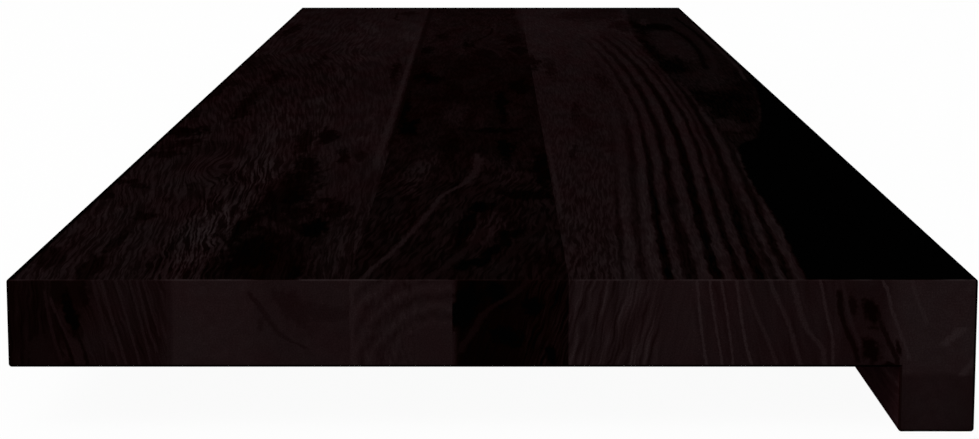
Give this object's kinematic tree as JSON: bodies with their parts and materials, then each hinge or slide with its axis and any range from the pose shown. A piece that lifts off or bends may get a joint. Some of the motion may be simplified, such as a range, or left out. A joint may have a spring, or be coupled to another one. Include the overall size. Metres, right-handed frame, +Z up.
{
  "type": "stair tread",
  "caption": "Flat stair tread glued up from hardwood staves, stained near black, with a square dropped nosing strip under its front edge.",
  "frame": {"origin": "centre of the footprint, level with the foot of the nosing strip", "axes": "+X from the rear edge towards the nosing, +Y along the staves, +Z up through the walking surface"},
  "size_m": [0.292, 1.219, 0.047],
  "materials": {
    "stained_stave": "near-black stain under a dull clear coat, grain just showing",
    "stained_nosing": "near-black stain under a dull clear coat, grain just showing"
  },
  "bodies": {
    "root": {"stave_1": "stained_stave", "stave_2": "stained_stave", "stave_3": "stained_stave", "stave_4": "stained_stave", "stave_5": "stained_stave", "stave_6": "stained_stave", "stave_7": "stained_stave", "nosing_strip": "stained_nosing"}
  },
  "joints": []
}
